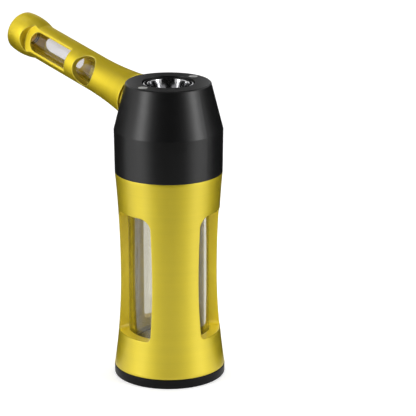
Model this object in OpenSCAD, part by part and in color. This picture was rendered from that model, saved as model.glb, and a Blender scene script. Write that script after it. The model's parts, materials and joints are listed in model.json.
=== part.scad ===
// Hand-held water pipe of anodised aluminium and glass: a windowed body round a glass
// chamber on a screwed base cap, a screwed head with a lift-out bowl, and a windowed
// mouthpiece that plugs into the head's sloping face.
// The origin is the centre of the base cap's underside, +Z is up, and the mouthpiece
// points towards -X.

/* [Base cap] */
// How far the rim stands out past the sleeve's foot
base_lip = 0.1; // [0:0.05:0.5]
// Height of the base cap's rim
base_h = 4.5; // [3:0.5:8]
// Rounding of the rim's lower edge
base_edge_r = 0.6; // [0.2:0.1:1.5]

/* [Screw spigots] */
// Outer radius of the male screw spigots
thread_r = 20.7; // [20.2:0.1:21.2]
// Length of the spigots
thread_len = 8; // [7:0.5:10]
// Pitch of the thread
thread_pitch = 1.5; // [1:0.25:1.75]
// Depth of the thread
thread_depth = 0.45; // [0.2:0.05:0.6]
// Radial clearance of a spigot in its socket
thread_clearance = 0.08; // [0.03:0.01:0.1]
// Relief past the end of each spigot
thread_relief = 0.4; // [0.2:0.1:1]
// Radius of the O-ring cord on the spigots
seal_cord_r = 0.9; // [0.7:0.05:1]
// Height of the O-ring above the spigot's shoulder
seal_z = 1.9; // [1.5:0.1:2.2]
// Clearance of each O-ring in its groove and bore
seal_clearance = 0.05; // [0.02:0.01:0.1]
// Room for each O-ring along its groove
seal_play = 0.3; // [0.1:0.05:0.5]

/* [Body sleeve] */
// Height of the windowed sleeve
sleeve_h = 92.8; // [86:0.2:110]
// Radius at the sleeve's foot
sleeve_foot_r = 25.6; // [25:0.1:25.7]
// Radius at the waist
sleeve_waist_r = 22.45; // [22:0.05:23.4]
// Radius under the head
sleeve_top_r = 24.72; // [24:0.02:25]
// Height of the waist above the sleeve's foot
sleeve_waist_z = 43.8; // [36:0.2:52]
// Radius of the bore that holds the glass
sleeve_bore_r = 18.7; // [18.2:0.1:19.2]
// Radius of the throat above the glass
throat_r = 16; // [14:0.2:16.4]
// Thickness of the shoulder above the glass, below the sleeve's top
shoulder_h = 1.5; // [1:0.1:3]

/* [Sleeve windows] */
// Width between the straight sides of a window
window_w = 23; // [16:0.2:24]
// Height of the windows' sill above the sleeve's foot
window_sill = 17; // [13:0.2:20]
// Height of a window
window_h = 58.4; // [40:0.1:60]
// Rounding of the upper corners
window_head_r = 4.9; // [1:0.1:7]
// Rounding of the lower corners
window_sill_r = 2; // [0.8:0.1:4]
// Direction that the first window faces
window_turn = 24; // [0:0.5:119]

/* [Glass chamber] */
// Clearance between the glass and the sleeve's bore
glass_clearance = 0.25; // [0.15:0.05:0.4]
// Wall of the glass chamber
glass_wall = 2.2; // [1.4:0.1:2.6]
// Floor of the glass chamber
glass_floor = 3; // [2:0.2:5]
// Rounding round the foot of the glass
glass_foot_r = 5; // [3:0.5:8]
// Thickness of the cushion under the glass
cushion_h = 1.5; // [1:0.1:2.5]
// How far the cushion reaches past the flat of the glass's foot
cushion_lip = 1.5; // [0:0.1:3]
// Thickness of the gasket on the glass's rim
gasket_h = 1.5; // [1:0.1:2.5]

/* [Head] */
// Growth of the skirt's radius from the sleeve's top to the edge where the cone starts
skirt_flare = 0.28; // [0:0.02:1]
// Radius of the cone's top, before its edge is broken
crown_r = 19.5; // [19:0.1:20.5]
// Height of the skirt
skirt_h = 19.8; // [19:0.1:24]
// Height of the cone
cone_h = 21.7; // [21:0.1:24]
// Width of the broken edge round the top
crown_edge = 0.45; // [0.2:0.05:0.6]
// Radius of the air space above the neck
plenum_r = 17.5; // [17:0.1:18.4]
// Height of the air space above the head's lower edge
plenum_z = 20.7; // [20:0.1:21]

/* [Bowl] */
// Radius of the hole in the head's top
bowl_hole_r = 12.2; // [12:0.05:12.6]
// Radius of the bowl's rim
bowl_rim_r = 11.7; // [11.5:0.05:11.8]
// Thickness of the bowl's rim
bowl_rim_h = 1; // [0.8:0.1:1.4]
// Drop of the rim below the head's top
bowl_drop = 0.5; // [0.3:0.1:1]
// Radius of the bowl's body
bowl_r = 10.8; // [10.6:0.05:10.9]
// Radial clearance of the bowl in the head
bowl_clearance = 0.1; // [0.05:0.01:0.1]
// Height of the bowl from its foot to its rim
bowl_h = 11.3; // [10:0.1:11.6]
// Radius of the cup's mouth
cup_mouth_r = 11.2; // [11:0.05:11.4]
// Rounding of the cup's lip
cup_lip_r = 1.2; // [0.8:0.1:1.4]
// Radius at the foot of the cup
cup_foot_r = 7.4; // [6.5:0.1:8]
// Thickness of the cup's floor
cup_floor = 1.2; // [0.8:0.1:2]
// Radius of the draught hole in the floor
draught_r = 2.4; // [1.8:0.1:2.8]
// Radius of the cord of the bowl's O-ring
bowl_cord_r = 0.5; // [0.4:0.05:0.55]
// Radius of the screen
screen_r = 6.3; // [5.5:0.1:6.4]
// Thickness of the screen
screen_h = 0.4; // [0.3:0.1:0.8]
// Radius of the holes in the screen
screen_hole_r = 0.4; // [0.3:0.05:0.5]
// Distance between neighbouring holes of the screen
screen_step = 1.7; // [1.5:0.1:1.8]

/* [Crown magnets] */
// Radius of each magnet
magnet_r = 2.05; // [1.5:0.05:2.3]
// Height of each magnet
magnet_h = 2.4; // [1.5:0.1:3.5]
// Clearance round each magnet
magnet_clearance = 0.05; // [0.02:0.01:0.1]

/* [Downstem] */
// Outer radius of the tube
stem_r = 4.5; // [4:0.1:5]
// Radius of the tube's bore
stem_bore_r = 3; // [2.4:0.1:3.2]
// Height of the tube's open end above the base
stem_foot_z = 26; // [22:1:60]
// Radius of the screwed end
stem_thread_r = 5.4; // [5.1:0.1:5.6]
// Length of the screwed end
stem_thread_len = 5.2; // [4:0.1:5.4]
// Width across the corners of the spanner collar, halved
stem_collar_r = 8; // [7:0.2:8.4]
// Height of the spanner collar
stem_collar_h = 3; // [2:0.2:5]
// Thickness of the washer above the collar
stem_washer_h = 1; // [0.6:0.1:1.5]
// Width of the slots in the lower end
stem_slot_w = 1.6; // [1:0.1:2.4]
// Length of those slots
stem_slot_h = 10; // [4:0.5:16]

/* [Mouthpiece place] */
// Rise of the tube above the horizontal
tube_tilt = 13.4; // [12:0.2:15]
// Height above the head's lower edge where the tube's line meets the head's axis
tube_axis_z = 26; // [25.4:0.1:26.4]
// Turn of the mouthpiece about its own line
tube_roll = 17; // [-180:1:180]
// Gap between the mouthpiece's shoulder and the head
tube_gap = 0.3; // [0.2:0.05:1]
// Depth of the socket below the sloping face
socket_depth = 6.1; // [5.5:0.1:6.4]
// Thickness of the flat gasket in the socket
socket_gasket_h = 0.8; // [0.5:0.1:1.2]
// Radius of the air port drilled up from the head's air space to the socket
port_r = 3; // [2.4:0.1:3.1]
// Distance of that port from the wall of the air space
port_margin = 0.1; // [0:0.05:0.5]
// Depth of metal left between the port's end and the bowl's foot
port_wall = 2; // [1.6:0.1:3]

/* [Mouthpiece] */
// Length of the windowed tube
tube_len = 82.4; // [76:0.2:100]
// Radius of the tube's shoulder next to the head
shoulder_r = 10.6; // [10.3:0.1:11]
// Radius at the tube's waist
tube_waist_r = 8.42; // [8.2:0.02:8.8]
// Largest radius at the mouth end
tip_r = 9.85; // [9.4:0.05:10.6]
// Length of the flare next to the head
shoulder_flare = 27; // [20:0.5:27.5]
// Length of the rise from the waist to the mouth end's fullest ring
tip_flare = 21; // [19:0.5:22]
// Distance of that ring from the mouth end
tip_ring = 7.4; // [6:0.2:8]
// Radius of the full curve over that ring
tip_curve_r = 32; // [24:1:48]
// Rounding of the mouth end
tip_edge_r = 3.4; // [2:0.1:3.8]
// Radius of the bore that holds the glass tube
tube_bore_r = 5.8; // [5.6:0.05:6.2]
// Radius of the opening at the mouth
mouth_r = 5; // [4.2:0.1:5.2]
// Length of the solid end round the mouth opening
mouth_len = 8.4; // [7:0.2:9]

/* [Mouthpiece windows] */
// Wall between each flat and the bore of the tube
flat_wall = 0.3; // [0.2:0.05:0.8]
// Half of the slot's width
slot_r = 4.7; // [3.6:0.1:5]
// Distance from the shoulder to the square end of the slot
slot_start = 40.5; // [39:0.1:44]
// Length of the slot
slot_len = 27.3; // [20:0.1:29]
// Half of the flat's width, and the radius of its round end
flat_end_r = 8.3; // [4.8:0.1:9]
// Outward lean of the wall round the flat
flat_lean = 6; // [0:1:45]
// Radius of the round cross hole
hole_r = 6.9; // [4:0.1:7]
// Distance from the shoulder to the middle of the round hole
hole_z = 28; // [26:0.1:29]

/* [Joint collar] */
// Radius of the collar that plugs into the head
collar_r = 9.7; // [9.4:0.05:9.75]
// Radial clearance of the collar in its socket
collar_clearance = 0.06; // [0.03:0.01:0.1]
// Width of the groove next to the shoulder
collar_groove_w = 0.45; // [0.3:0.05:0.8]
// Depth of that groove
collar_groove_d = 0.5; // [0.2:0.05:0.8]
// Radius of the collar's screwed tail inside the tube
collar_tail_r = 7.9; // [7.4:0.1:8.2]
// Length of that tail
collar_tail_len = 4; // [3:0.5:6]
// Radius of the pocket in the collar's end
pocket_r = 8.3; // [8.1:0.05:8.5]
// Depth of that pocket
pocket_h = 2.2; // [1.6:0.1:2.6]
// Outer radius of the ring magnets
ring_r = 7.8; // [7.4:0.05:7.9]
// Inner radius of the ring magnets
ring_bore_r = 6.2; // [5.8:0.05:6.6]
// Height of the ring magnets
ring_h = 2; // [1.4:0.1:2]
// Wall of the glass tube
tube_glass_wall = 1.4; // [1:0.1:2]
// Clearance between the glass tube and its bore
tube_glass_clearance = 0.2; // [0.1:0.05:0.3]
// Radius of the cord of the seal near the mouth
tip_cord_r = 0.5; // [0.4:0.05:0.55]
// Distance of that seal from the end of the glass
tip_seal_back = 0.6; // [0.6:0.1:1.2]

/* [Hidden] */
$fn = 128;
// Segments of the long, shallow arcs
arc_fn = 720;
// Overrun of cutting shapes
cut = 1;
// Working gap between flat faces that meet
touch = 0.05;

window_count = 3;
base_r = sleeve_foot_r + base_lip;
sleeve_z = base_h;
head_z = sleeve_z + sleeve_h;
waist_z = sleeve_z + sleeve_waist_z;
socket_r = thread_r + thread_clearance;
seal_r = thread_r + thread_clearance - seal_clearance - seal_cord_r;
seal_groove_r = seal_r - seal_cord_r - seal_clearance;
seal_groove_h = 2 * seal_cord_r + seal_play;

glass_r = sleeve_bore_r - glass_clearance;
glass_bore_r = glass_r - glass_wall;
cushion_z = sleeve_z + thread_len;
glass_z = cushion_z + cushion_h + touch;
glass_top = head_z - shoulder_h - gasket_h;

edge_r = sleeve_top_r + skirt_flare;
edge_z = head_z + skirt_h;
crown_z = edge_z + cone_h;
web_z = head_z + plenum_z;
cone_slope = (edge_r - crown_r) / cone_h;

magnet_x = (bowl_hole_r + crown_r) / 2;
bowl_top = crown_z - bowl_drop;
bowl_z = bowl_top - bowl_h;
bowl_seat_z = bowl_top - bowl_rim_h - touch - 2 * bowl_cord_r;
bowl_bore_r = bowl_r + bowl_clearance;
cup_z = bowl_z + cup_floor;
screen_rings = floor((screen_r - 2 * screen_hole_r) / screen_step);

// Places along the mouthpiece's own line, counted from the head's axis
axis_z = head_z + tube_axis_z;
face_s = (edge_r + cone_slope * (edge_z - axis_z))
    / (cos(tube_tilt) + cone_slope * sin(tube_tilt));
shoulder_s = face_s + tube_gap;
tip_s = shoulder_s + tube_len;
socket_s = face_s - socket_depth;
collar_s = socket_s + socket_gasket_h + touch;
flat_y = tube_bore_r + flat_wall;
tube_glass_r = tube_bore_r - tube_glass_clearance;
tube_glass_s = collar_s + pocket_h + touch;
mouth_s = tip_s - mouth_len;
tip_seal_s = mouth_s - tip_seal_back;
tip_seal_r = tube_glass_r + seal_clearance + tip_cord_r;
port_x = plenum_r - port_r - port_margin;

// Radius of the arc that leaves a straight line and climbs by rise over run
function arc_radius(run, rise) = (run * run + rise * rise) / (2 * rise);

// How far an arc of radius r falls away over run, measured from its top
function arc_fall(run, r) = run * run / (2 * r);

// What a round of radius r takes off a square corner, centred on the round
module corner_cut(r) {
    difference() {
        square(r + cut);
        circle(r = r);
    }
}

// Half section of an O-ring
module cord_section(ring, cord, z) {
    translate([ring, z]) circle(r = cord);
}

// Half section of a screw spigot with its O-ring groove and thread, standing on z = 0
module spigot_section() {
    first = seal_z + seal_groove_h / 2 + thread_pitch;
    difference() {
        square([thread_r, thread_len]);
        translate([seal_groove_r, seal_z - seal_groove_h / 2])
            square([thread_r, seal_groove_h]);
        for (z = [first : thread_pitch : thread_len - thread_pitch / 2])
            translate([thread_r, z])
                polygon([[-thread_depth, 0], [cut, -thread_pitch / 2], [cut, thread_pitch / 2]]);
        translate([thread_r, thread_len])
            polygon([[-thread_depth, touch], [cut, touch], [cut, -thread_depth - cut]]);
    }
}

// Carries what stands on +Z over to the mouthpiece's line
module on_tube_line() {
    translate([0, 0, axis_z]) rotate([0, tube_tilt - 90, 0]) children();
}

// Carries what stands on +Z over to the mouthpiece, with its own turn
module on_mouthpiece() {
    on_tube_line() rotate([0, 0, tube_roll]) children();
}

module base_cap() {
    color([0.07, 0.07, 0.08])
        rotate_extrude() {
            difference() {
                square([base_r, base_h]);
                translate([base_r - base_edge_r, base_edge_r]) mirror([0, 1]) corner_cut(base_edge_r);
            }
            translate([0, sleeve_z]) spigot_section();
        }
}

module base_o_ring() {
    color([0.12, 0.12, 0.12])
        rotate_extrude() cord_section(seal_r, seal_cord_r, sleeve_z + seal_z);
}

module glass_cushion() {
    color([0.85, 0.85, 0.82])
        translate([0, 0, cushion_z])
            cylinder(r = glass_r - glass_foot_r + cushion_lip, h = cushion_h);
}

// Half section of the hour-glass sleeve
module sleeve_section() {
    lower_r = arc_radius(sleeve_waist_z, sleeve_foot_r - sleeve_waist_r);
    upper_r = arc_radius(sleeve_h - sleeve_waist_z, sleeve_top_r - sleeve_waist_r);
    difference() {
        union() {
            translate([0, sleeve_z]) square([sleeve_foot_r, sleeve_h]);
            translate([0, head_z]) spigot_section();
        }
        intersection() {
            translate([0, sleeve_z - cut]) square([sleeve_foot_r + cut, sleeve_waist_z + cut]);
            translate([sleeve_waist_r + lower_r, waist_z]) circle(r = lower_r, $fn = arc_fn);
        }
        intersection() {
            translate([0, waist_z]) square([sleeve_foot_r + cut, sleeve_h - sleeve_waist_z]);
            translate([sleeve_waist_r + upper_r, waist_z]) circle(r = upper_r, $fn = arc_fn);
        }
        translate([0, sleeve_z - cut]) square([socket_r, thread_len + thread_relief + cut]);
        square([sleeve_bore_r, head_z - shoulder_h]);
        square([throat_r, head_z + thread_len + cut]);
    }
}

// Outline of a window, with its sill's middle at the origin
module window_outline() {
    difference() {
        translate([-window_w / 2, 0]) square([window_w, window_h]);
        for (side = [0, 1])
            mirror([side, 0]) {
                translate([window_w / 2 - window_head_r, window_h - window_head_r])
                    corner_cut(window_head_r);
                translate([window_w / 2 - window_sill_r, window_sill_r])
                    mirror([0, 1]) corner_cut(window_sill_r);
            }
    }
}

module body_sleeve() {
    color([0.80, 0.72, 0.20])
        difference() {
            rotate_extrude() sleeve_section();
            for (i = [0 : window_count - 1])
                rotate([0, 0, window_turn + i * 360 / window_count])
                    translate([0, 0, sleeve_z + window_sill])
                        rotate([90, 0, 90])
                            linear_extrude(height = sleeve_foot_r + cut) window_outline();
        }
}

module water_chamber() {
    bore_foot_r = glass_foot_r - glass_wall;
    color([0.80, 0.84, 0.88, 0.4])
        rotate_extrude()
            difference() {
                translate([0, glass_z]) square([glass_r, glass_top - glass_z]);
                translate([glass_r - glass_foot_r, glass_z + glass_foot_r])
                    mirror([0, 1]) corner_cut(glass_foot_r);
                difference() {
                    translate([0, glass_z + glass_floor]) square([glass_bore_r, glass_top - glass_z]);
                    translate([glass_bore_r - bore_foot_r, glass_z + glass_floor + bore_foot_r])
                        mirror([0, 1]) corner_cut(bore_foot_r);
                }
            }
}

module chamber_gasket() {
    color([0.85, 0.85, 0.82])
        translate([0, 0, glass_top + touch])
            difference() {
                cylinder(r = glass_r, h = gasket_h - touch);
                translate([0, 0, -cut]) cylinder(r = throat_r, h = gasket_h + 2 * cut);
            }
}

module neck_o_ring() {
    color([0.12, 0.12, 0.12])
        rotate_extrude() cord_section(seal_r, seal_cord_r, head_z + seal_z);
}

// Half section of the head, without the socket and the pockets beside the axis
module head_section() {
    difference() {
        polygon([
            [0, head_z], [sleeve_top_r, head_z], [edge_r, edge_z],
            [crown_r + crown_edge * cone_slope, crown_z - crown_edge],
            [crown_r - crown_edge, crown_z], [0, crown_z]
        ]);
        translate([0, head_z - cut]) square([socket_r, thread_len + thread_relief + cut]);
        translate([0, head_z]) square([plenum_r, plenum_z]);
        translate([0, web_z - cut]) square([stem_thread_r + touch, stem_thread_len + touch + cut]);
        square([stem_bore_r, crown_z]);
        translate([0, bowl_z - touch]) square([bowl_bore_r, bowl_h + cut]);
        translate([0, bowl_seat_z]) square([bowl_hole_r, crown_z]);
    }
}

// The way for the air from inside the socket's magnet down to the air space
module air_port() {
    on_tube_line()
        translate([0, 0, socket_s - ring_h]) cylinder(r = ring_bore_r - touch, h = socket_depth);
    translate([-port_x, 0, web_z - cut]) cylinder(r = port_r, h = bowl_z - port_wall - web_z + cut);
}

module head_shell() {
    color([0.07, 0.07, 0.08])
        difference() {
            rotate_extrude() head_section();
            on_tube_line()
                translate([0, 0, socket_s]) {
                    cylinder(r = collar_r + collar_clearance, h = socket_depth + collar_r);
                    translate([0, 0, -ring_h]) cylinder(r = ring_r + touch, h = ring_h + cut);
                }
            air_port();
            for (side = [-1, 1])
                translate([0, side * magnet_x, crown_z - magnet_h - touch])
                    cylinder(r = magnet_r + magnet_clearance, h = magnet_h + cut);
        }
}

module crown_magnets() {
    color([0.80, 0.80, 0.82])
        for (side = [-1, 1])
            translate([0, side * magnet_x, crown_z - magnet_h]) cylinder(r = magnet_r, h = magnet_h);
}

module bowl_o_ring() {
    color([0.12, 0.12, 0.12])
        rotate_extrude()
            cord_section((bowl_bore_r + bowl_hole_r) / 2, bowl_cord_r, bowl_seat_z + bowl_cord_r);
}

module bowl() {
    color([0.75, 0.76, 0.78])
        rotate_extrude()
            difference() {
                union() {
                    translate([0, bowl_z]) square([bowl_r, bowl_h]);
                    translate([0, bowl_top - bowl_rim_h]) square([bowl_rim_r, bowl_rim_h]);
                }
                square([draught_r, crown_z]);
                polygon([
                    [0, cup_z], [cup_foot_r, cup_z],
                    [cup_mouth_r - cup_lip_r, bowl_top - cup_lip_r],
                    [cup_mouth_r - cup_lip_r, bowl_top + cut], [0, bowl_top + cut]
                ]);
                difference() {
                    translate([0, bowl_top - cup_lip_r]) square([cup_mouth_r, cup_lip_r + cut]);
                    translate([cup_mouth_r, bowl_top - cup_lip_r]) circle(r = cup_lip_r);
                }
            }
}

module bowl_screen() {
    color([0.70, 0.70, 0.72])
        difference() {
            translate([0, 0, cup_z]) cylinder(r = screen_r, h = screen_h);
            for (ring = [0 : screen_rings]) {
                holes = max(6 * ring, 1);
                for (i = [0 : holes - 1])
                    rotate([0, 0, i * 360 / holes])
                        translate([ring * screen_step, 0, cup_z - cut])
                            cylinder(r = screen_hole_r, h = screen_h + 2 * cut);
            }
        }
}

module downstem() {
    collar_top = web_z - stem_washer_h;
    color([0.72, 0.73, 0.75])
        difference() {
            union() {
                translate([0, 0, stem_foot_z]) cylinder(r = stem_r, h = web_z - stem_foot_z);
                translate([0, 0, collar_top - stem_collar_h])
                    cylinder(r = stem_collar_r, h = stem_collar_h, $fn = 6);
                translate([0, 0, collar_top - cut])
                    cylinder(r = stem_thread_r, h = stem_washer_h + stem_thread_len + cut);
            }
            translate([0, 0, stem_foot_z - cut]) cylinder(r = stem_bore_r, h = crown_z);
            for (turn = [0, 90])
                rotate([0, 0, turn])
                    translate([-stem_r - cut, -stem_slot_w / 2, stem_foot_z - cut])
                        cube([2 * (stem_r + cut), stem_slot_w, stem_slot_h + cut]);
        }
}

module downstem_washer() {
    color([0.12, 0.12, 0.12])
        translate([0, 0, web_z - stem_washer_h + touch])
            difference() {
                cylinder(r = stem_collar_r * cos(30), h = stem_washer_h - 2 * touch);
                translate([0, 0, -cut]) cylinder(r = stem_thread_r + touch, h = stem_washer_h + 2 * cut);
            }
}

// A ring with a bore, standing on z = 0
module ring(r, bore, h) {
    difference() {
        cylinder(r = r, h = h);
        translate([0, 0, -cut]) cylinder(r = bore, h = h + 2 * cut);
    }
}

module socket_magnet() {
    color([0.80, 0.80, 0.82])
        on_tube_line() translate([0, 0, socket_s - ring_h]) ring(ring_r, ring_bore_r, ring_h);
}

module socket_gasket() {
    color([0.12, 0.12, 0.12])
        on_tube_line()
            translate([0, 0, socket_s + touch]) ring(collar_r - touch, ring_r, socket_gasket_h - touch);
}

// Half section of the mouthpiece's tube, with its length along Y
module tube_section() {
    flare_arc = arc_radius(shoulder_flare, shoulder_r - tube_waist_r);
    tip_arc = arc_radius(tip_flare, tip_r - tube_waist_r + arc_fall(tip_flare / 2, tip_curve_r));
    ring_s = tip_s - tip_ring;
    difference() {
        union() {
            translate([0, shoulder_s]) square([tube_waist_r, tube_len - tip_ring]);
            difference() {
                translate([0, shoulder_s]) square([shoulder_r, shoulder_flare]);
                translate([tube_waist_r + flare_arc, shoulder_s + shoulder_flare])
                    circle(r = flare_arc, $fn = arc_fn);
            }
            intersection() {
                translate([0, ring_s - tip_flare]) square([tip_r, tip_flare + tip_ring]);
                translate([tip_r - tip_curve_r, ring_s]) circle(r = tip_curve_r, $fn = arc_fn);
                difference() {
                    translate([0, ring_s - tip_flare]) square([tip_r, tip_flare + tip_ring]);
                    translate([tube_waist_r + tip_arc, ring_s - tip_flare])
                        circle(r = tip_arc, $fn = arc_fn);
                }
            }
        }
        translate([tip_r - tip_edge_r - arc_fall(tip_edge_r, tip_curve_r), tip_s - tip_edge_r])
            corner_cut(tip_edge_r);
        square([tube_bore_r, mouth_s]);
        square([mouth_r, tip_s + cut]);
        translate([0, shoulder_s - cut]) square([collar_tail_r + touch, collar_tail_len + touch + cut]);
        translate([0, tip_seal_s - tip_cord_r - touch])
            square([tip_seal_r + tip_cord_r + touch, 2 * (tip_cord_r + touch)]);
    }
}

// One flat: a sunk strip round the slot with a leaning wall, round at the mouth end
module flat_cut() {
    slot_s = shoulder_s + slot_start;
    end_s = slot_s + slot_len - slot_r;
    depth = tip_r - flat_y + cut;
    top_r = flat_end_r + depth * tan(flat_lean);
    translate([0, 0, slot_s])
        linear_extrude(height = end_s - slot_s)
            polygon([
                [-flat_end_r, flat_y], [flat_end_r, flat_y],
                [top_r, flat_y + depth], [-top_r, flat_y + depth]
            ]);
    translate([0, flat_y, end_s]) rotate([-90, 0, 0]) cylinder(r1 = flat_end_r, r2 = top_r, h = depth);
}

// Cuts the two flats, the slot and the round hole, with the tube along Z
module tube_windows() {
    side_len = tip_r + cut;
    slot_s = shoulder_s + slot_start;
    for (side = [0, 1])
        mirror([0, side, 0]) flat_cut();
    translate([0, side_len, 0])
        rotate([90, 0, 0])
            linear_extrude(height = 2 * side_len) {
                translate([-slot_r, slot_s]) square([2 * slot_r, slot_len - slot_r]);
                translate([0, slot_s + slot_len - slot_r]) circle(r = slot_r);
                translate([0, shoulder_s + hole_z]) circle(r = hole_r);
            }
}

module mouthpiece_sleeve() {
    color([0.80, 0.72, 0.20])
        on_mouthpiece()
            difference() {
                rotate_extrude() tube_section();
                tube_windows();
            }
}

module joint_collar() {
    color([0.80, 0.72, 0.20])
        on_mouthpiece()
            rotate_extrude()
                difference() {
                    union() {
                        translate([0, collar_s]) square([collar_r, shoulder_s - collar_s]);
                        translate([0, collar_s])
                            square([collar_tail_r, shoulder_s - collar_s + collar_tail_len]);
                    }
                    translate([collar_r - collar_groove_d, shoulder_s - collar_groove_w])
                        square([collar_r, collar_groove_w + cut]);
                    square([tube_bore_r, tip_s]);
                    translate([0, collar_s - cut]) square([pocket_r, pocket_h + cut]);
                }
}

module mouthpiece_glass() {
    color([0.80, 0.84, 0.88, 0.4])
        on_mouthpiece()
            translate([0, 0, tube_glass_s])
                ring(tube_glass_r, tube_glass_r - tube_glass_wall, mouth_s - touch - tube_glass_s);
}

module tip_seal() {
    color([0.12, 0.12, 0.12])
        on_mouthpiece() rotate_extrude() cord_section(tip_seal_r, tip_cord_r, tip_seal_s);
}

module collar_magnet() {
    color([0.80, 0.80, 0.82])
        on_mouthpiece()
            translate([0, 0, collar_s + pocket_h - ring_h]) ring(ring_r, ring_bore_r, ring_h);
}

module collar_seal() {
    color([0.12, 0.12, 0.12])
        on_mouthpiece()
            translate([0, 0, collar_s + pocket_h - ring_h]) ring(pocket_r - touch, ring_r + touch, ring_h);
}

base_cap();
base_o_ring();
glass_cushion();
body_sleeve();
water_chamber();
chamber_gasket();
neck_o_ring();
head_shell();
crown_magnets();
bowl_o_ring();
bowl();
bowl_screen();
downstem();
downstem_washer();
socket_magnet();
socket_gasket();
mouthpiece_sleeve();
joint_collar();
mouthpiece_glass();
tip_seal();
collar_magnet();
collar_seal();
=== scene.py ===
import json
import math

import bmesh
import bpy
import numpy as np
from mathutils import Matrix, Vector


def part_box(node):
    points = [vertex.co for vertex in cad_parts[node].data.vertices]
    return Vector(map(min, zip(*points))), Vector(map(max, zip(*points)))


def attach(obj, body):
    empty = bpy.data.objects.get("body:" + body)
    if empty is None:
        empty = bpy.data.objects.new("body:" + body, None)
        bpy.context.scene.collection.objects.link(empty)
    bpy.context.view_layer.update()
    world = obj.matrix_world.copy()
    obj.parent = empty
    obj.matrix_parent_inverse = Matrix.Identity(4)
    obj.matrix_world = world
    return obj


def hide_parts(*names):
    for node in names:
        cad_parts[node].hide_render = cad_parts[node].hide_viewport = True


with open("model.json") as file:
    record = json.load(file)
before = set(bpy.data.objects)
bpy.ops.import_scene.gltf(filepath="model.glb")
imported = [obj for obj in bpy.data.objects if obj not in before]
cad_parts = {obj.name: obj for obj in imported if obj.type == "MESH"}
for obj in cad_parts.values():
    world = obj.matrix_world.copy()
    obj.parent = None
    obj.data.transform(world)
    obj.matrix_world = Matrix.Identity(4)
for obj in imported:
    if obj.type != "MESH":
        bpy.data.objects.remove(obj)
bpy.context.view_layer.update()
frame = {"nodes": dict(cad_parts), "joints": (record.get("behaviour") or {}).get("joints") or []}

# ---------------------------------------------------------------------------------------------
# Camera. It stands to the front right of the pipe, a little above it, and looks through a long
# lens, so that the upright edges stay parallel. Lengths are in metres and turns in degrees.
view_turn = 46
view_rise = 17.17
camera_distance = 1.026
camera_lens = 192.6
middle_height = 0.070
# How far the pipe's middle lies left of and below the middle of the view
aside = 0.0180
below = 0.0088


def towards(turn, rise):
    """The unit vector (sin t cos r, -cos t cos r, sin r) that points from the pipe to a place
    turned by t degrees from the front and raised by r. Both may be arrays."""
    t, r = np.radians(turn), np.radians(rise)
    return np.stack([np.sin(t) * np.cos(r), -np.cos(t) * np.cos(r), np.sin(r)], -1)


back = Vector(towards(view_turn, view_rise))
right = Vector(towards(view_turn + 90, 0))
middle = Vector((0, 0, middle_height))
place = middle + back * camera_distance
aim = middle + right * aside + back.cross(right) * below
camera = bpy.data.objects.new("camera", bpy.data.cameras.new("camera"))
camera.data.lens = camera_lens
camera.data.clip_start = 0.05
camera.data.clip_end = 50
camera.location = place
camera.rotation_euler = (aim - place).to_track_quat("-Z", "Y").to_euler()
bpy.context.scene.collection.objects.link(camera)
bpy.context.scene.camera = camera
bpy.context.scene.view_settings.view_transform = "Standard"


# ---------------------------------------------------------------------------------------------
# Studio. The pipe stands on a pale matt floor that runs back to a white wall, between two
# upright soft boxes and under a wide one, with a small lamp low on each side. Its shiny parts
# mirror the black cards that stand round it, and nothing else sees those.
class Wire:
    """One output of a node in a material. + - * between wires and numbers add Math nodes."""

    def __init__(self, tree, socket=None):
        self.tree = tree
        self.socket = socket

    def node(self, kind, settings=None, inputs=None, output=0):
        """Adds one node: first its settings, then a value or a link for each input."""
        made = self.tree.nodes.new("ShaderNode" + kind)
        for name, value in (settings or {}).items():
            setattr(made, name, value)
        for name, value in (inputs or {}).items():
            if isinstance(value, Wire):
                self.tree.links.new(value.socket, made.inputs[name])
            else:
                made.inputs[name].default_value = value
        return Wire(self.tree, made.outputs[output] if made.outputs else None)

    def mix(self, share, first, second):
        """The colour first + share (second - first)."""
        return self.node("Mix", {"data_type": "RGBA"}, {0: share, 6: first, 7: second}, 2)

    def maths(self, operation, first, second=0.0):
        return self.node("Math", {"operation": operation}, {0: first, 1: second})

    def __add__(self, other):
        return self.maths("ADD", self, other)

    def __sub__(self, other):
        return self.maths("SUBTRACT", self, other)

    def __rsub__(self, other):
        return self.maths("SUBTRACT", other, self)

    def __mul__(self, other):
        return self.maths("MULTIPLY", self, other)

    __radd__ = __add__
    __rmul__ = __mul__


def first_wire(owner):
    """Clears the nodes of a material or of the world, and returns a wire to start with."""
    owner.use_nodes = True
    owner.node_tree.nodes.clear()
    return Wire(owner.node_tree)


def any_ray(wire, *names):
    """1 for rays of any of these kinds, the largest of their marks, and 0 for all others."""
    mark = wire.node("LightPath", output=names[0])
    for name in names[1:]:
        mark = wire.maths("MAXIMUM", mark, wire.node("LightPath", output=name))
    return mark


def grid_faces(rows, columns, start=0):
    """The corners of the faces between neighbours in a grid of points, where the point in row i
    and column j has the number start + i columns + j."""
    first = start + np.arange(rows - 1)[:, None] * columns + np.arange(columns - 1)
    return first.reshape(-1, 1) + [0, 1, columns + 1, columns]


def studio_sheet(name, points, material):
    """A sheet through a grid of points, which isn't part of the pipe."""
    mesh = bpy.data.meshes.new(name)
    faces = grid_faces(*points.shape[:2])
    mesh.from_pydata(points.reshape(-1, 3).tolist(), [], faces.tolist())
    mesh.materials.append(material)
    sheet = bpy.data.objects.new(name, mesh)
    bpy.context.scene.collection.objects.link(sheet)
    return sheet


# What the eye, a mirror or glass sees, and not the rays that carry light to the pipe
looking = ("Is Camera Ray", "Is Glossy Ray", "Is Transmission Ray")

floor_reach = 6
floor_steps = 8
floor_drop = 0.00002
floor_white = (0.8, 0.8, 0.8, 1)
paper_size = 0.3
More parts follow.
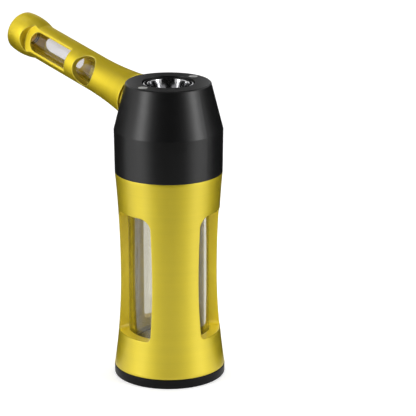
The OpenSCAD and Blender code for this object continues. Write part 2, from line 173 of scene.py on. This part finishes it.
# The floor's own light: near the pipe, and far off, where the lamps don't reach, with the
# distances that it changes between
near_light = 0.48
far_light = 0.72
near_to = 0.4
far_from = 1.6
floor_lines = np.linspace(-floor_reach, floor_reach, floor_steps + 1)
x, y = np.meshgrid(floor_lines, floor_lines)
pale_floor = bpy.data.materials.new("pale_floor")
wire = first_wire(pale_floor)
spot = wire.node("TexCoord", output="Object")
paper = wire.node("TexNoise", inputs={"Vector": spot, "Scale": 1 / paper_size, "Detail": 3.0})
away = wire.node("VectorMath", {"operation": "LENGTH"}, {0: spot}, 1)
glow = wire.node("MapRange", {}, {
    "Value": away, "From Min": near_to, "From Max": far_from,
    "To Min": near_light, "To Max": far_light})
shade = wire.node("BsdfPrincipled", inputs={
    "Base Color": floor_white, "Roughness": 0.9 + 0.05 * paper, "Specular IOR Level": 0.1,
    "Emission Color": (1, 1, 1, 1), "Emission Strength": glow * any_ray(wire, *looking)})
wire.node("OutputMaterial", inputs={"Surface": shade})
studio_sheet("floor", np.stack([x, y, np.full_like(x, -floor_drop)], -1), pale_floor)

# The wall is white where it is looked at, and lights the pipe with this strength
world_light = 0.42
studio = bpy.data.worlds.new("studio")
bpy.context.scene.world = studio
wire = first_wire(studio)
wall = wire.node("Background", inputs={
    "Color": (1, 1, 1, 1),
    "Strength": world_light + (1 - world_light) * any_ray(wire, *looking)})
wire.node("OutputWorld", inputs={"Surface": wall})


def soft_box(name, turn, rise, distance, size, power, lean=None):
    """A rectangular light, size (width, height), at that turn and rise from the pipe, which
    faces its middle, or leans back from the upright by lean degrees."""
    light = bpy.data.lights.new(name, "AREA")
    light.shape = "RECTANGLE"
    light.size, light.size_y = size
    light.energy = power
    lamp = bpy.data.objects.new(name, light)
    lamp.location = middle + Vector(towards(turn, rise)) * distance
    behind = Vector(towards(turn, rise if lean is None else -lean))
    lamp.rotation_euler = behind.to_track_quat("Z", "Y").to_euler()
    lamp.visible_camera = False
    bpy.context.scene.collection.objects.link(lamp)


side_box = {"rise": 12, "distance": 0.9, "size": (0.22, 0.9), "power": 5.2}
low_box = {"rise": -18, "distance": 0.21, "size": (0.05, 0.14), "power": 0.022, "lean": 88}
soft_box("soft_box_left", view_turn - 62, **side_box)
soft_box("soft_box_right", view_turn + 66, **side_box)
soft_box("soft_box_top", view_turn + 180, rise=70, distance=1.0, size=(0.9, 0.5), power=3.8)
soft_box("low_box_left", view_turn - 50, **low_box)
soft_box("low_box_right", view_turn + 60, **low_box)

near_card = 0.21
far_card = 0.30
# Space between a card that lies down and the floor
card_gap = 0.001
card_steps = 24
felt_size = 0.001
felt_black = (0.01, 0.01, 0.01, 1)
black_felt = bpy.data.materials.new("black_felt")
wire = first_wire(black_felt)
felt = wire.node("TexNoise", inputs={
    "Vector": wire.node("TexCoord", output="Object"), "Scale": 1 / felt_size})
shade = wire.node("BsdfPrincipled", inputs={
    "Base Color": felt_black, "Roughness": 0.9 + 0.1 * felt, "Specular IOR Level": 0.0})
wire.node("OutputMaterial", inputs={"Surface": shade})


def dark_card(name, turns, rises, distance):
    """A black card bent round the pipe, between two turns and two rises: it stands at the
    distance d, d (sin t cos r, -cos t cos r, sin r), and below that lies on the floor, at
    d = height / -sin r. Only shiny things see it."""
    t, r = np.meshgrid(np.linspace(*turns, card_steps + 1), np.linspace(*rises, card_steps + 1))
    away = towards(t, r)
    reach = (middle_height - card_gap) / np.maximum(-away[:, :, 2:], card_gap)
    points = away * np.minimum(distance, reach) + np.array(middle)
    card = studio_sheet(name, points, black_felt)
    for kind in ("camera", "diffuse", "transmission", "shadow", "volume_scatter"):
        setattr(card, "visible_" + kind, False)


dark_card("dark_card_front", (6, 88), (-19, 62), near_card)
dark_card("dark_card_left", (-116, -53), (-62, 20), near_card)
dark_card("dark_card_right", (136, 206), (-62, 35), near_card)
dark_card("dark_card_over", (0, 360), (57, 90), far_card)
dark_card("dark_card_low", (206, 244), (-62, -19), near_card)
dark_card("dark_card_high", (186, 262), (36, 57), far_card)
dark_card("dark_card_behind", (221, 231), (6, 36), far_card)


# ---------------------------------------------------------------------------------------------
# Anodised parts: the turned aluminium sleeve, mouthpiece and collar are dyed yellow gold, and
# the head and the base cap black. The lathe leaves fine lines round each piece.
upright = ((0, 0, 0), (0, 0, 1))
# How much lighter or darker than its colour a turned surface gets
tone = 0.12
# Width of the fine lines as a share of the wide bands' width
line_share = 0.12
haze_per_metre = 90
# How much of the lighter edge colour, partly wear and partly a painted glint, an edge takes, and
# how far apart its rounded and its true normal lie, as 1 less their dot product, where it starts
# and where it is full
wear_and_glint = 0.9
wear_and_glint_from = 0.02
wear_and_glint_full = 0.25


def opaque(colour, times=1.0):
    """The colour, times a number and at most 1, with the alpha that a socket needs."""
    return tuple(min(part * times, 1) for part in colour) + (1,)


def turned_finish(name, colour, worn_and_glint, roughness, pitch, depth, axis=upright, bore=None,
                  edge_round=0.00035, **more):
    """The finish of a piece turned on a lathe about an axis, (foot, direction), which leaves
    tool marks of that pitch and depth.

    With s the distance along the axis from foot and r the distance from the axis, the tool marks
    are noise on s + r, so they run round the sides and round the ends as well. Close to an edge
    the rounded normal and the true one differ, and there the colour turns to a lighter one:
    partly wear, and partly a painted glint where the edge would catch the light.
    Where r is below the first value of bore, the surface is the second one's matt colour.
    """
    foot, along = (tuple(part) for part in axis)
    material = bpy.data.materials.new(name)
    wire = first_wire(material)
    spot = wire.node("TexCoord", output="Object")
    from_foot = wire.node("VectorMath", {"operation": "SUBTRACT"}, {0: spot, 1: foot})
    s = wire.node("VectorMath", {"operation": "DOT_PRODUCT"}, {0: from_foot, 1: along}, 1)
    on_axis = wire.node("VectorMath", {"operation": "SCALE"}, {0: along, "Scale": s})
    off_axis = wire.node("VectorMath", {"operation": "SUBTRACT"}, {0: from_foot, 1: on_axis})
    r = wire.node("VectorMath", {"operation": "LENGTH"}, {0: off_axis}, 1)
    lines = wire.node("TexNoise", {"noise_dimensions": "1D"}, {
        "W": s + r, "Scale": 1 / pitch, "Detail": 2.0, "Roughness": 0.6})
    bands = wire.node("TexNoise", {"noise_dimensions": "1D"}, {
        "W": s + r, "Scale": line_share / pitch, "Detail": 2.0})
    haze = wire.node("TexNoise", inputs={"Vector": spot, "Scale": haze_per_metre, "Detail": 3.0})
    soft = wire.node("Bevel", {"samples": 6}, {"Radius": edge_round})
    true = wire.node("NewGeometry", output="Normal")
    edge = 1 - wire.node("VectorMath", {"operation": "DOT_PRODUCT"}, {0: soft, 1: true}, 1)
    edge = wire.node("MapRange", {}, {
        "Value": edge, "From Min": wear_and_glint_from, "From Max": wear_and_glint_full})
    # What the lines, the bands and the haze do to the colour, to the relief and to the shine
    grain = 0.45 * lines + 0.35 * bands + 0.2 * haze
    relief = 0.8 * lines + 0.2 * bands
    uneven = 0.06 * (haze - 0.5) + 0.05 * (bands - 0.5)
    body = wire.mix(grain, opaque(colour, 1 - tone), opaque(colour, 1 + tone))
    # Painted glint and wear: near an edge the colour turns to the lighter one.
    tint = wire.mix(wear_and_glint * edge, body, opaque(worn_and_glint))
    if bore:
        bore_r, bore_colour = bore
        within = wire.maths("LESS_THAN", r, bore_r)
        tint = wire.mix(within, tint, opaque(bore_colour))
        more["Metallic"] = more["Metallic"] * (1 - within)
    bump = wire.node("Bump", {}, {
        "Strength": 1.0, "Distance": depth, "Height": relief, "Normal": soft})
    shade = wire.node("BsdfPrincipled", inputs={
        "Base Color": tint, "Roughness": roughness + uneven, "Normal": bump, **more})
    wire.node("OutputMaterial", inputs={"Surface": shade})
    return material


def dress(material, *names):
    """Gives the material to these pieces."""
    for name in names:
        frame["nodes"][name].material_slots[0].material = material


gold = (0.58, 0.47, 0.022)
tube_gold = (0.66, 0.52, 0.024)
# Milled walls and bores: a lighter, duller gold, partly the milled finish and partly painted light
# bounced inside them
milled_bounce_gold = (0.99, 0.72, 0.03)
worn_and_glint_gold = (0.85, 0.74, 0.16)
dyed = {"Metallic": 1.0, "Coat Weight": 0.7, "Coat Roughness": 0.35,
        "Specular Tint": (0.7, 0.62, 0.3, 1)}
# The tube's bore, which has the milled gold, lighter to paint the light bounced inside it, lies
# within this radius
tube_bore_r = 0.006
tube_edge_round = 0.0008
black = (0.0035, 0.0035, 0.0037)
worn_and_glint_black = (0.03, 0.03, 0.031)
joints = {joint["name"]: joint for joint in frame["joints"]}
tube_axis = (joints["mouthpiece_turn"]["pos_m"], joints["mouthpiece_turn"]["axis"])
gold_sides = turned_finish(
    "gold_anodised_body", gold, worn_and_glint_gold, roughness=0.57, pitch=0.00035, depth=0.00002, **dyed)
gold_milled_bounce = turned_finish(
    "gold_anodised_milled_bounce", milled_bounce_gold, worn_and_glint_gold, roughness=0.40, pitch=0.0006,
    depth=0.00001, **{**dyed, "Metallic": 0.06})
gold_tube = turned_finish(
    "gold_anodised_tube", tube_gold, worn_and_glint_gold, roughness=0.54, pitch=0.0003, depth=0.00002,
    axis=tube_axis, bore=(tube_bore_r, milled_bounce_gold), edge_round=tube_edge_round,
    **{**dyed, "Coat Weight": 0.35})
black_sides = turned_finish(
    "black_anodised", black, worn_and_glint_black, roughness=0.36, pitch=0.0003, depth=0.000008,
    **{"Specular IOR Level": 0.36})
black_foot = turned_finish(
    "black_anodised_foot", black, worn_and_glint_black, roughness=0.45, pitch=0.0003, depth=0.000008,
    **{"Specular IOR Level": 0.11})
dress(gold_tube, "mouthpiece_sleeve", "joint_collar")
dress(black_sides, "head_shell")


# ---------------------------------------------------------------------------------------------
# Screwed neck. The sleeve's neck and the base cap's have the same turned spigot: a groove for
# an O-ring, then a few turns of a single-start V thread, which a chasing tool cuts.
merge_within = 0.000002
# Sides that meet at more degrees than this keep a sharp edge
sharp_from = 32


def skin(name, grids, body, node):
    """A closed mesh made of grids of points, each with its material. A grid is an array of rows
    and columns of (x, y, z), neighbours make its faces, and borders that meet are merged."""
    materials = list(dict.fromkeys(material for _, material in grids))
    points, faces, marks, start = [], [], [], 0
    for grid, material in grids:
        faces.append(grid_faces(*grid.shape[:2], start))
        marks.append(np.full(len(faces[-1]), materials.index(material)))
        points.append(grid.reshape(-1, 3))
        start += len(points[-1])
    mesh = bpy.data.meshes.new(name)
    mesh.from_pydata(np.concatenate(points).tolist(), [], np.concatenate(faces).tolist())
    for material in materials:
        mesh.materials.append(material)
    mesh.polygons.foreach_set("material_index", np.concatenate(marks))
    shell = bmesh.new()
    shell.from_mesh(mesh)
    bmesh.ops.remove_doubles(shell, verts=shell.verts, dist=merge_within)
    bmesh.ops.recalc_face_normals(shell, faces=shell.faces)
    shell.to_mesh(mesh)
    shell.free()
    mesh.polygons.foreach_set("use_smooth", np.ones(len(mesh.polygons), bool))
    mesh.set_sharp_from_angle(angle=math.radians(sharp_from))
    piece = bpy.data.objects.new(name, mesh)
    bpy.context.scene.collection.objects.link(piece)
    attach(piece, body)
    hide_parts(node)


def turned(turn, *parts):
    """The points (r cos t, r sin t, z) of a turned surface, at each turn t. The profile comes in
    parts (r, z), and a part's r may have a column for each turn."""
    rows = []
    for r, z in parts:
        z = np.reshape(z, (-1, 1)) * np.ones(len(turn))
        r = np.broadcast_to(r if np.ndim(r) == 2 else np.reshape(r, (-1, 1)), z.shape)
        rows.append(np.stack([r * np.cos(turn), r * np.sin(turn), z], -1))
    return np.concatenate(rows)


def rounded(r, z, size, start, steps=4):
    """A quarter circle about (r, z): size (cos a, sin a), with a from start over 90 degrees."""
    a = np.radians(np.linspace(start, start + 90, steps + 1))
    return r + size * np.cos(a), z + size * np.sin(a)


neck_r = 0.0207
neck_len = 0.008
neck_chamfer = 0.0005
groove_r = 0.01888
groove_from = 0.00085
groove_to = 0.00295
thread_pitch = 0.0015
thread_depth = 0.00045
thread_steps = 56


def neck(foot, turn):
    """The parts of a screwed neck that stands at height foot. The V thread is the radius
    R - d (1 - |2 frac(z / p - t / 2 pi) - 1|), which fades out at both ends."""
    z = np.linspace(groove_to + thread_pitch / 4, neck_len - neck_chamfer, thread_steps + 1)
    phase = z[:, None] / thread_pitch - turn / (2 * np.pi)
    fade = np.clip((z - z[0]) / thread_pitch, 0, 1) * np.clip((z[-1] - z) / thread_pitch, 0, 1)
    cut = thread_depth * (1 - np.abs(2 * (phase % 1) - 1)) * np.minimum(2 * fade, 1)[:, None]
    groove = foot + np.array([0, groove_from, groove_from, groove_to, groove_to])
    return [([neck_r, neck_r, groove_r, groove_r, neck_r], groove), (neck_r - cut, foot + z),
            ([neck_r - neck_chamfer], [foot + neck_len])]


# ---------------------------------------------------------------------------------------------
# Body sleeve. It is turned from aluminium bar to an hour-glass shape, with three windows milled
# through its wall and their edges broken by hand, a socket for the base cap below, and a
# screwed neck for the head above.
foot_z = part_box("body_sleeve")[0][2]
foot_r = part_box("body_sleeve")[1][0]
neck_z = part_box("head_shell")[0][2]
waist_r = 0.02245
waist_z = foot_z + 0.0438
top_r = 0.02472
bore_r = 0.0187
throat_r = 0.016
throat_z = neck_z - 0.0015
socket_r = 0.02078
socket_top = foot_z + 0.0084
edge_break = 0.00025
window_turn = 24
window_wide = 0.023
window_low = foot_z + 0.017
window_high = window_low + 0.0584
# Radii of a window's upper and lower corners, and of its broken edge
window_head = 0.0049
window_sill = 0.002
lip = 0.0004
# The windows are cut in the stretch between these heights, each in its third of the sleeve
zone_low = foot_z + 0.012
zone_high = neck_z - 0.010
half_third = 60
# How finely the faces follow a third's width, its height, the broken edge, the wall, the way
# from a window to its third's border, and the sleeve above and below the windows
wide_steps = 44
high_steps = 56
lip_steps = 5
wall_steps = 4
border_steps = 14
above_steps = 7
below_steps = 9
# The rows on the way to the border lie closer to the window, by this power
border_ease = 1.4
# Share of each side of the outline that its corners' rounds take up
bend = 0.16


def sleeve_radius(z):
    """w + a - sqrt(a^2 - (z - waist)^2), with w the waist's radius and a the radius of the arc
    from there to the foot or to the top."""
    reach = np.where(z < waist_z, waist_z - foot_z, neck_z - waist_z)
    rise = np.where(z < waist_z, foot_r, top_r) - waist_r
    a = (reach ** 2 + rise ** 2) / (2 * rise)
    return waist_r + a - np.sqrt(a ** 2 - (z - waist_z) ** 2)


# The outline of a window is c + r (cos a, sin a), with c the centre of a corner's round, r its
# radius and a the direction that faces out. A counter goes from 0 to 4 round it, one for each
# side from the sill on, and round the border of its third of the sleeve in step.
corner_r = np.array([window_sill, window_sill, window_head, window_head])
corner_y = np.array([-1, 1, 1, -1]) * (window_wide / 2 - corner_r)
corner_z = np.repeat([window_low, window_high], 2) + np.array([1, 1, -1, -1]) * corner_r
sides = np.arange(4)[:, None]
counter = np.concatenate([
    np.linspace(side, side + 1, steps, endpoint=False)
    for side, steps in enumerate([wide_steps, high_steps] * 2)] + [[4.0]])
knots = (sides + [0, bend, 1 - bend, 1]).ravel()
corner = (sides + [0, 0, 1, 1]).ravel() % 4
out = np.radians(np.interp(counter, knots, (225 + 90 * sides + [0, 45, 45, 90]).ravel()))
out_y, out_z = np.cos(out), np.sin(out)
rim_r = np.interp(counter, knots, corner_r[corner])
rim_y = np.interp(counter, knots, corner_y[corner]) + rim_r * out_y
rim_z = np.interp(counter, knots, corner_z[corner]) + rim_r * out_z
border_turn = np.radians(np.interp(counter, range(5), half_third * np.array([-1, 1, 1, -1, -1])))
border_z = np.interp(counter, range(5), [zone_low, zone_low, zone_high, zone_high, zone_low])


def window_row(offset, depth):
    """The outline moved out by offset, lying that depth below the sleeve's surface."""
    y, z = rim_y + offset * out_y, rim_z + offset * out_z
    return np.stack([np.sqrt(sleeve_radius(z) ** 2 - y ** 2) - depth, y, z], -1)


def spread(y, z, radius, share):
    """That share of the way from the outline, at turn asin(y / radius) and height z, to the
    border of its third, along the surface with that radius."""
    turn = (1 - share) * np.arcsin(y / radius(z)) + share * border_turn
    height = (1 - share) * z + share * border_z
    r = radius(height)
    return np.stack([r * np.cos(turn), r * np.sin(turn), height], -1)


def facing(points, degrees):
    """The points turned about the upright axis."""
    c, s = math.cos(math.radians(degrees)), math.sin(math.radians(degrees))
    return points @ np.array([[c, s, 0], [-s, c, 0], [0, 0, 1]])


shares = np.linspace(0, 1, border_steps + 1) ** border_ease
rounds = np.radians(np.linspace(90, 0, lip_steps + 1))
edge_y, edge_z = rim_y + lip * out_y, rim_z + lip * out_z
outside = np.stack(
    [spread(edge_y, edge_z, sleeve_radius, share) for share in shares[:0:-1]]
    + [window_row(lip * (1 - np.cos(t)), lip * (1 - np.sin(t))) for t in rounds])
inner = np.stack([np.sqrt(bore_r ** 2 - rim_y ** 2), rim_y, rim_z], -1)
inside = np.stack(
    [outside[-1] + (inner - outside[-1]) * share for share in np.linspace(0, 1, wall_steps + 1)]
    + [spread(rim_y, rim_z, lambda z: np.full_like(z, bore_r), share) for share in shares[1:]])
whole_turn = np.radians(
    window_turn + np.linspace(-half_third, 360 - half_third, 3 * wide_steps + 1))
walk = np.linspace(zone_high, neck_z - edge_break, above_steps + 1)[:-1]
above_windows = turned(
    whole_turn, (sleeve_radius(walk), walk),
    rounded(top_r - edge_break, neck_z - edge_break, edge_break, 0), *neck(neck_z, whole_turn),
    ([throat_r, throat_r, bore_r, bore_r], [neck_z + neck_len, throat_z, throat_z, zone_high]))
walk = np.linspace(foot_z + edge_break, zone_low, below_steps + 1)[1:]
below_windows = turned(
    whole_turn, ([bore_r, bore_r, socket_r, socket_r], [zone_low, socket_top, socket_top, foot_z]),
    rounded(foot_r - edge_break, foot_z + edge_break, edge_break, 270),
    (sleeve_radius(walk), walk))
thirds = [window_turn + 120 * k for k in range(3)]
# The windows' walls take the milled gold, whose lighter colour paints the light bounced inside
# them.
skin("hour_glass_sleeve", [
    (above_windows, gold_sides), (below_windows, gold_sides),
    *((facing(outside, degrees), gold_sides) for degrees in thirds),
    *((facing(inside, degrees), gold_milled_bounce) for degrees in thirds)],
    "chamber", "body_sleeve")


# ---------------------------------------------------------------------------------------------
# Base cap. A turned black disc with a small round at its foot and a screwed neck, which closes
# the sleeve from below.
cap_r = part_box("base_cap")[1][0]
cap_round = 0.0006
cap = turned(
    whole_turn, ([0, cap_r / 2], [0, 0]), rounded(cap_r - cap_round, cap_round, cap_round, 270),
    rounded(cap_r - edge_break, foot_z - edge_break, edge_break, 0), *neck(foot_z, whole_turn),
    ([0], [foot_z + neck_len]))
skin("screwed_base_cap", [(cap, black_foot)], "base", "base_cap")


# ---------------------------------------------------------------------------------------------
# Glass. The chamber is a blown cup with a rounded foot, and the mouthpiece holds a plain cut
# tube. Both are clear borosilicate.
glass_index = 1.47
light_through = (0.9, 0.9, 0.9, 1)


def clear_glass(name, tint, wipes_per_metre):
    """Clear glass whose smoothness varies a little, as wiped glass does. It lets the lamps'
    light through to what is behind it."""
    material = bpy.data.materials.new(name)
    wire = first_wire(material)
    spot = wire.node("TexCoord", output="Object")
    wipes = wire.node("TexNoise", inputs={
        "Vector": spot, "Scale": wipes_per_metre, "Detail": 2.0})
    shade = wire.node("BsdfPrincipled", inputs={
        "Base Color": opaque(tint), "Transmission Weight": 1.0, "IOR": glass_index,
        "Roughness": 0.03 * wipes})
    clear = wire.node("BsdfTransparent", inputs={"Color": light_through})
    lighting = any_ray(wire, "Is Shadow Ray", "Is Diffuse Ray")
    both = wire.node("MixShader", inputs={0: lighting, 1: shade, 2: clear})
    wire.node("OutputMaterial", inputs={"Surface": both})
    return material


dress(clear_glass("chamber_glass", (0.66, 0.645, 0.58), wipes_per_metre=60), "water_chamber")
dress(clear_glass("tube_glass", (0.80, 0.79, 0.80), wipes_per_metre=90), "mouthpiece_glass")


# ---------------------------------------------------------------------------------------------
# Seals. The O-rings and the seals in the mouthpiece are moulded black rubber, and the cushion
# and the gasket on the glass clear silicone.
pebble_size = 0.0004
pebble_depth = 0.00002
cloud_size = 0.005
cloud_tone = 0.2


def rubber(name, colour, roughness, **more):
    """A moulded rubber: a fine pebbled skin, slightly uneven in its colour and its shine."""
    material = bpy.data.materials.new(name)
    wire = first_wire(material)
    spot = wire.node("TexCoord", output="Object")
    pebbles, cloud = (
        wire.node("TexNoise", inputs={"Vector": spot, "Scale": 1 / size, "Detail": 2.0})
        for size in (pebble_size, cloud_size))
    body = wire.mix(cloud, opaque(colour, 1 - cloud_tone), opaque(colour, 1 + cloud_tone))
    bump = wire.node("Bump", {}, {
        "Strength": 0.6, "Distance": pebble_depth, "Height": pebbles})
    shade = wire.node("BsdfPrincipled", inputs={
        "Base Color": body, "Roughness": roughness + 0.1 * cloud, "Normal": bump, **more})
    wire.node("OutputMaterial", inputs={"Surface": shade})
    return material


dress(rubber("black_rubber", (0.02, 0.02, 0.02), roughness=0.5), "base_o_ring", "neck_o_ring",
      "bowl_o_ring", "socket_gasket", "downstem_washer", "tip_seal", "collar_seal")
dress(rubber("clear_silicone", (0.75, 0.75, 0.74), roughness=0.4,
             **{"Transmission Weight": 0.6}), "glass_cushion", "chamber_gasket")


# ---------------------------------------------------------------------------------------------
# Bare metal: the polished bowl, its punched screen, the turned downstem and the nickel-plated
# magnets.
polished_steel = turned_finish(
    "polished_steel", (0.46, 0.46, 0.47), (0.9, 0.9, 0.9), roughness=0.12, pitch=0.0002,
    depth=0.000003, Metallic=1.0)
plain_steel = turned_finish(
    "plain_steel", (0.50, 0.50, 0.51), (0.75, 0.75, 0.75), roughness=0.32, pitch=0.0003,
    depth=0.00001, Metallic=1.0)
nickel = turned_finish(
    "bright_nickel", (0.90, 0.89, 0.87), (0.95, 0.95, 0.93), roughness=0.36, pitch=0.0004,
    depth=0.000002, Metallic=1.0)
dress(plain_steel, "downstem", "bowl_screen")
dress(nickel, "crown_magnets", "socket_magnet", "collar_magnet")


# ---------------------------------------------------------------------------------------------
# Bowl. It is turned from stainless bar and polished: a flat rim with broken edges, a steep cup
# with a draught hole in its floor, and a foot that stands in the head's bore.
(_, _, bowl_low), (bowl_rim_r, _, bowl_high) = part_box("bowl")
bowl_rim_low = bowl_high - 0.001
bowl_rim_round = 0.0007
bowl_body_r = 0.0108
bowl_break = 0.0003
cup_mouth_r = 0.0092
cup_lip = 0.0005
cup_foot_r = 0.0066
cup_floor = bowl_low + 0.0012
draught_r = 0.0024
polish_steps = 8
bowl = turned(
    whole_turn, ([draught_r], [bowl_low]),
    rounded(bowl_body_r - bowl_break, bowl_low + bowl_break, bowl_break, 270),
    ([bowl_body_r], [bowl_rim_low]),
    rounded(bowl_rim_r - bowl_break, bowl_rim_low + bowl_break, bowl_break, 270),
    rounded(bowl_rim_r - bowl_rim_round, bowl_high - bowl_rim_round, bowl_rim_round, 0,
            polish_steps),
    rounded(cup_mouth_r + cup_lip, bowl_high - cup_lip, cup_lip, 90, polish_steps),
    ([cup_foot_r, draught_r, draught_r], [cup_floor, cup_floor, bowl_low]))
skin("polished_bowl", [(bowl, polished_steel)], "bowl", "bowl")
